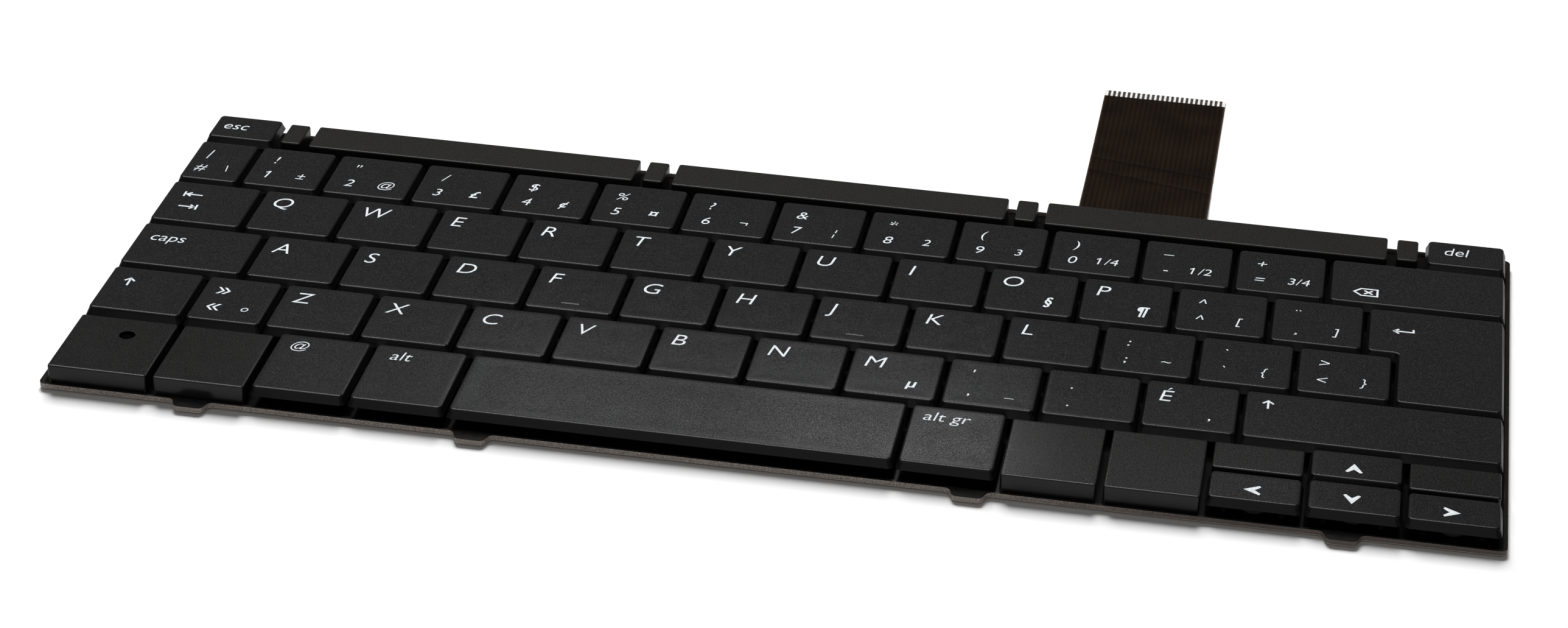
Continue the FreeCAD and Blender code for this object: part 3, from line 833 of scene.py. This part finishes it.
WORDS = {
    "esc": ("esc", (0.35, 0.26)), "delete": ("del", (0.38, 0.24)), "caps_lock": ("caps", (0.37, 0.32)),
    "alt": ("alt", (0.32, 0.22)), "alt_right": ("alt gr", (0.39, 0.22)),
}
for name, (word, place) in WORDS.items():
    legends[name] = [(text_shape(word, WORD_HEIGHT), place)]
legends["at"] = [(text_shape("@", AT_HEIGHT), (0.27, 0.23))]
print(sum(len(shapes) for shapes in legends.values()), "printed legends so far")

# %% [markdown]
# Arrows and icons are drawn in millimetres around their own middle: the tab arrows run against bars, the
# shift arrow is an open head on a stem, the delete-back icon is a pointed frame with a cross, the cursor
# keys have filled notched heads and the quote key has pairs of bold chevrons with a small ring.

# %% Draw the arrows and icons
TAB_ARROW = [
    [(-1.5, 0), (1.7, 0)], [(-0.5, 0.75), (-1.4, 0), (-0.5, -0.75)], [(-1.8, 0.95), (-1.8, -0.95)]]
SHIFT_ARROW = [[(0, -1.4), (0, 1.2)], [(-0.95, 0.35), (0, 1.3), (0.95, 0.35)]]
RETURN_ARROW = [[(1.8, 0.9), (1.8, -0.1), (-1.7, -0.1)], [(-0.8, 0.7), (-1.7, -0.1), (-0.8, -0.9)]]
BACK_FRAME = [(-2.2, 0), (-0.9, -1.3), (2.1, -1.3), (2.1, 1.3), (-0.9, 1.3)]
BACK_CROSS = [[(-0.3, -0.65), (1.2, 0.65)], [(-0.3, 0.65), (1.2, -0.65)]]
CURSOR_HEAD = [(1.5, 0), (-1.2, 1.5), (-1.45, 1.05), (-0.4, 0), (-1.45, -1.05), (-1.2, -1.5)]
CHEVRON = [(-0.75, -1.2), (-0.25, -1.2), (0.75, 0), (-0.25, 1.2), (-0.75, 1.2), (0.25, 0)]
CHEVRON_PAIRS = ((0, (0.25, 0.33), UPPER_PLACE[1]), (2, (0.24, 0.32), LOWER_PLACE[1]))
RING_HEIGHT = 2.1 * MM


def turned(corners, quarter_turns):
    """Corners turned anticlockwise about the origin by quarter turns."""
    for _ in range(quarter_turns):
        corners = [(-y, x) for x, y in corners]
    return corners


legends["tab"] = [(stroke_shape(line), (0.32, 0.31)) for line in TAB_ARROW]
legends["tab"] += [(stroke_shape(turned(line, 2)), (0.33, 0.62)) for line in TAB_ARROW]
legends["left_shift"] = [(stroke_shape(line), (0.26, 0.34)) for line in SHIFT_ARROW]
legends["right_shift"] = [(stroke_shape(line), (0.24, 0.27)) for line in SHIFT_ARROW]
legends["enter"] = [(stroke_shape(line), (0.38, 0.48)) for line in RETURN_ARROW]
legends["backspace"] = [(stroke_shape(BACK_FRAME, closed=True), (0.40, 0.74))]
legends["backspace"] += [(stroke_shape(line), (0.40, 0.74)) for line in BACK_CROSS]
for quarter_turns, name in enumerate(("right", "up", "left", "down")):
    legends[name] = [(filled_shape(turned(CURSOR_HEAD, quarter_turns)), (0.47, 0.32))]
legends["guillemet"] = [
    (filled_shape(turned(CHEVRON, turns)), (across, down))
    for turns, places, down in CHEVRON_PAIRS for across in places]
legends["guillemet"].append((text_shape("o", RING_HEIGHT), THIRD_PLACE))
print("keys with a legend:", len(legends), "of", len(outlines))

# %% [markdown]
# ## The caps
# Every cap is lofted, printed and given to the body of its own key, so it goes down when the key is
# pressed. The ten digit keys share one node on the base. The two home keys have a thin raised bar near
# the front edge.

# %% Make and print every cap
HOMING_WIDTH = 3.6 * MM
HOMING_LENGTH = 0.6 * MM
HOMING_RISE = 0.16 * MM
HOMING_SETBACK = 2.3 * MM
HOMING_ROUND = 0.2 * MM
HOMING_SHOULDER = (0.3, 0.4)


def homing_bar(mesh, outline):
    """A low rounded bar on the finger's home key."""
    middle = (outline[0].x + outline[1].x) / 2
    front = outline[0].y + HOMING_SETBACK
    foot = rectangle(middle - HOMING_WIDTH / 2, middle + HOMING_WIDTH / 2, front, front + HOMING_LENGTH)
    root = plain_top - DISH_DEPTH - INK_ROOT
    shoulder = plain_top - DISH_DEPTH + HOMING_RISE * HOMING_SHOULDER[0]
    peak = plain_top - DISH_DEPTH + HOMING_RISE
    loft(mesh, [ring(foot, 0, HOMING_ROUND, root), ring(foot, 0, HOMING_ROUND, shoulder),
                ring(foot, HOMING_LENGTH * HOMING_SHOULDER[1], HOMING_ROUND, peak)])


caps = {}
for name, outline in outlines.items():
    mesh = cap_mesh(outline, skirt_bottom, plain_top)
    surface = BVHTree.FromBMesh(mesh)
    left, right, _, back = span(outline)
    for shape, (across, down) in legends.get(name, []):
        place = Vector((left + across * min(right - left, STANDARD_WIDTH), back - down * STANDARD_DEPTH))
        print_on(mesh, surface, shape, place)
    if name in HOMING_KEYS:
        homing_bar(mesh, outline)
    cap = finish_piece("cap_" + name, mesh, [cap_abs, ink])
    node = "digit_keys" if name.isdigit() else "key_" + name
    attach(cap, "base" if name.isdigit() else node)
    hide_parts(node)
    caps[name] = cap
print(len(caps), "caps,", sum(len(cap.data.polygons) for cap in caps.values()), "faces")

# %% [markdown]
# ## The blanks
# Between the live keys stand fixed blanks: a corner block with a small round dimple, plain blocks in the
# front row, and long bars with short spacers along the back. They are upright boxes with crisp rounds,
# so the same rings serve, without the spread skirt and with hardly any dish. The dimple's rim is filled
# against the top, and its wall and floor are painted near-black without gloss: painted shade in the recess.

# %% Loft the blanks
BLANK_ROUND = 0.5 * MM
BLANK_EDGE = 0.34 * MM
DIMPLE_STEPS = 32
DIMPLE_DEPTH = 0.5 * MM
DIMPLE_RADIUS = 1.45 * MM
DIMPLE_FROM_LEFT = 10.3 * MM
DIMPLE_FROM_FRONT = 13.1 * MM


def circle(middle, radius, height, steps):
    """Points of a level circle about the middle, at a height above it."""
    angles = [FULL_TURN * step / steps for step in range(steps)]
    return [middle + Vector((radius * math.cos(angle), radius * math.sin(angle), height))
            for angle in angles]


def blank_rings(solid):
    """Rings from the foot of an upright blank to the inside of its edge round."""
    outline = rectangle(solid.low.x, solid.high.x, solid.low.y, solid.high.y)
    foot = ring(outline, 0, BLANK_ROUND, solid.low.z)
    inside = ring(outline, 2 * BLANK_EDGE, BLANK_ROUND, solid.high.z)
    return [foot] + edge_rings(outline, BLANK_EDGE, BLANK_ROUND, solid.high.z) + [inside]


def cut_dimple(mesh, solid):
    """Opens a round recess in the flat top of a blank."""
    top_face = max(mesh.faces, key=lambda face: (len(face.verts), face.calc_center_median().z))
    rim_edges = list(top_face.edges)
    mesh.faces.remove(top_face)
    middle = Vector((solid.low.x + DIMPLE_FROM_LEFT, solid.low.y + DIMPLE_FROM_FRONT, solid.high.z))
    rim, floor_ring = [
        [mesh.verts.new(point) for point in circle(middle, DIMPLE_RADIUS, height, DIMPLE_STEPS)]
        for height in (0, -DIMPLE_DEPTH)]
    mouth = []
    for step in range(DIMPLE_STEPS):
        after = (step + 1) % DIMPLE_STEPS
        wall = mesh.faces.new((rim[step], rim[after], floor_ring[after], floor_ring[step]))
        # Index 1 is the painted shade of the recess.
        wall.material_index = 1
        mouth.append(mesh.edges.get((rim[step], rim[after])))
    mesh.faces.new(floor_ring).material_index = 1
    bmesh.ops.triangle_fill(mesh, edges=rim_edges + mouth, use_beauty=True)


filler_solids.sort(key=lambda solid: (solid.centre.y > 0, solid.centre.x))
for number, solid in enumerate(filler_solids):
    mesh = bmesh.new()
    loft(mesh, blank_rings(solid))
    if number == 0:
        cut_dimple(mesh, solid)
    in_back_row = solid.centre.y > 0
    plastic = bar_abs if in_back_row else filler_abs
    blank = finish_piece("blank_" + str(number + 1), mesh, [plastic, dimple_painted_shade])
    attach(blank, "base")
    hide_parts("filler_blocks")
print(len(filler_solids), "blanks")

# %% [markdown]
# ## The works under the caps
# Each key stands on a rubber dome, which springs it back and closes the contact, and on crossed scissor
# frames, which keep it level. On the real key the dome buckles and the frames fold flat. Here the pair
# is one piece per key, held by the base. Domes are turned profiles;
# the frames are taken from their solids and softened with a small bevel, as moulded plastic is.

# %% Build the works
DOME_STEPS = 24
DOME_PROFILE = [
    (1.2, 0.0), (1.2, 0.05), (1.0, 0.12), (0.92, 0.55), (0.72, 0.72), (0.68, 0.95), (0.58, 1.0)]
FRAME_BEVEL = 0.09 * MM
FLAT_ANGLE = math.radians(2)


def add_dome(mesh, solid):
    """A bell of rubber about the middle of its solid; the profile is in shares of radius and height."""
    radius = (solid.high.x - solid.low.x) / 2
    height = solid.high.z - solid.low.z
    foot = Vector((solid.centre.x, solid.centre.y, solid.low.z))
    loft(mesh, [circle(foot, radius * width, height * rise, DOME_STEPS) for width, rise in DOME_PROFILE])


def add_frame(mesh, solid):
    """A scissor frame from its solid, with its edges bevelled."""
    frame_mesh = bmesh.new()
    corners = [frame_mesh.verts.new(point) for point in solid.points]
    for face in solid.faces:
        frame_mesh.faces.new([corners[number] for number in face])
    bmesh.ops.dissolve_limit(frame_mesh, angle_limit=FLAT_ANGLE, verts=frame_mesh.verts[:],
                             edges=frame_mesh.edges[:])
    bmesh.ops.bevel(frame_mesh, geom=frame_mesh.edges[:], offset=FRAME_BEVEL, segments=2, profile=0.5,
                    affect="EDGES")
    copies = {vertex: mesh.verts.new(vertex.co) for vertex in frame_mesh.verts}
    for face in frame_mesh.faces:
        mesh.faces.new([copies[vertex] for vertex in face.verts]).material_index = 1
    frame_mesh.free()


def add_works(mesh, outline):
    """Adds the dome and frames that stand under a key's outline."""
    left, right, front, back = span(outline)
    for solids, make in ((dome_solids, add_dome), (link_solids, add_frame)):
        for solid in solids:
            if left < solid.centre.x < right and front < solid.centre.y < back:
                make(mesh, solid)


film_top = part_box("rubber_domes")[0].z

digit_mesh = bmesh.new()
works = []
for name, outline in outlines.items():
    if name.isdigit():
        add_works(digit_mesh, outline)
        continue
    mesh = bmesh.new()
    add_works(mesh, outline)
    piece = finish_piece("works_" + name, mesh, [dome_rubber, link_acetal])
    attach(piece, "base")
    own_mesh(piece)
    works.append(piece)
works.append(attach(finish_piece("works_digits", digit_mesh, [dome_rubber, link_acetal]), "base"))
for piece in works:
    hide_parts("rubber_domes", "scissor_links")

# %% [markdown]
# ## The tray
# The tray's solid already has its rim, notch and tabs. A weld and a narrow bevel, as modifiers, turn its
# sharp corners into the small rounds of pressed sheet, and each face takes one of the two finishes by
# the way it faces: lacquer where it looks up from inside, raw edge where it looks outwards.

# %% Dress the tray
TRAY_BEVEL = 0.25 * MM
BEVEL_STEPS = 3
BEVEL_ANGLE = math.radians(30)
UPWARD = 0.5
RIM_ROOM = 1.0 * MM

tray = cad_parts["base_tray"]
tray.data.materials.clear()
tray.data.materials.append(lacquer)
tray.data.materials.append(raw_edge)
tray_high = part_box("base_tray")[1]
for polygon in tray.data.polygons:
    inside = (abs(polygon.center.x) < tray_high.x - RIM_ROOM
              and abs(polygon.center.y) < tray_high.y - RIM_ROOM)
    polygon.material_index = 0 if inside or polygon.normal.z > UPWARD else 1
weld = tray.modifiers.new("weld", "WELD")
weld.merge_threshold = MERGE_DISTANCE
bevel = tray.modifiers.new("pressed_rounds", "BEVEL")
bevel.width = TRAY_BEVEL
bevel.segments = BEVEL_STEPS
bevel.limit_method = "ANGLE"
bevel.angle_limit = BEVEL_ANGLE
print("tray faces:", len(tray.data.polygons))

# %% [markdown]
# ## The switch film
# The film lies in the tray under everything else and shows only as a black shine in the gaps. It is a
# thin sheet with rounded corners.

# %% Lay the switch film
FILM_ROUND = 0.6 * MM
FILM_THICKNESS = 0.25 * MM

film_low, film_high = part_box("switch_membrane")
sheet_bottom = film_top - FILM_THICKNESS
sheet_outline = rectangle(film_low.x, film_high.x, film_low.y, -film_low.y)
mesh = bmesh.new()
loft(mesh, [ring(sheet_outline, 0, FILM_ROUND, height) for height in (sheet_bottom, film_top)])
switch_film = finish_piece("switch_film", mesh, [switch_print])
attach(switch_film, "base")
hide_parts("switch_membrane")
print("switch film, mm:", [round(side / MM, 1) for side in (film_high - film_low)[:2]])

# %% [markdown]
# ## The ribbon tail
# The tail leaves through the notch in the rim, bends down to the table and runs straight back. It is one
# grid of points, with columns at the edges of every contact finger, so that fingers, stiffener and cover
# are faces of their own with crisp borders. Two slanted creases, where it has been folded, stand up as
# low ridges.

# %% Bend the ribbon tail
FINGERS = 24
FINGER_SHARE = 0.55
FINGER_LENGTH = 2.5 * MM
TAIL_STEP = 1.0 * MM
SLOPE_LENGTH = 24.0 * MM
TAIL_OVERLAP = 1.0 * MM
AMBER_EDGE = 0.25 * MM
CREASE_RISE = 0.14 * MM

tail_left = TAIL_MIDDLE - TAIL_WIDTH / 2
tail_start = -film_low.y - TAIL_OVERLAP
tail_bend = tray_high.y
tail_tip = film_high.y
tail_floor = film_low.z


def smooth_step(share):
    """An S curve from 0 to 1 with level ends."""
    share = min(max(share, 0.0), 1.0)
    return share * share * (3 - 2 * share)


def tail_height(x, y):
    """Underside of the tail: level, then an S bend down to the floor, with its creases."""
    fall = (sheet_bottom - tail_floor) * smooth_step((y - tail_bend) / SLOPE_LENGTH)
    rise = 0.0
    for left_end, right_end in CREASES:
        crossing = left_end + (right_end - left_end) * (x - tail_left) / TAIL_WIDTH
        rise += CREASE_RISE * math.exp(-((y - crossing) / CREASE_WIDTH) ** 2)
    return sheet_bottom - fall + rise


margin = (TAIL_WIDTH - FINGERS * TRACE_PITCH) / 2
columns = [tail_left, tail_left + AMBER_EDGE]
finger_columns = set()
for finger in range(FINGERS):
    finger_left = tail_left + margin + (finger + (1 - FINGER_SHARE) / 2) * TRACE_PITCH
    finger_columns.add(len(columns))
    columns += [finger_left, finger_left + FINGER_SHARE * TRACE_PITCH]
columns += [tail_left + TAIL_WIDTH - AMBER_EDGE, tail_left + TAIL_WIDTH]
covered = tail_tip - FINGER_LENGTH - tail_start
row_count = round(covered / TAIL_STEP)
rows = [tail_start + covered * row / row_count for row in range(row_count + 1)] + [tail_tip]

COVER, AMBER, STIFFENER, FINGER = range(4)

mesh = bmesh.new()
upper, lower = [
    [[mesh.verts.new((x, y, tail_height(x, y) + lift)) for x in columns] for y in rows]
    for lift in (FILM_THICKNESS, 0.0)]
last_column = len(columns) - 1
last_row = len(rows) - 1
for layer in (upper, lower):
    for row in range(last_row):
        for column in range(last_column):
            face = mesh.faces.new((
                layer[row][column], layer[row][column + 1],
                layer[row + 1][column + 1], layer[row + 1][column]))
            face.smooth = True
            if row == last_row - 1:
                is_finger = column in finger_columns and layer is upper
                face.material_index = FINGER if is_finger else STIFFENER
            elif column in (0, last_column - 1):
                face.material_index = AMBER
for row in range(last_row):
    for column in (0, last_column):
        mesh.faces.new((
            upper[row][column], upper[row + 1][column],
            lower[row + 1][column], lower[row][column])).material_index = AMBER
for row in (0, last_row):
    for column in range(last_column):
        mesh.faces.new((
            upper[row][column], upper[row][column + 1],
            lower[row][column + 1], lower[row][column])).material_index = STIFFENER if row else COVER
ribbon = finish_piece("ribbon_tail", mesh, [tail_film, film_edge, stiffener_white, finger_carbon])
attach(ribbon, "base")
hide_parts("switch_membrane")
print("tail has", last_column, "columns and", last_row, "rows")
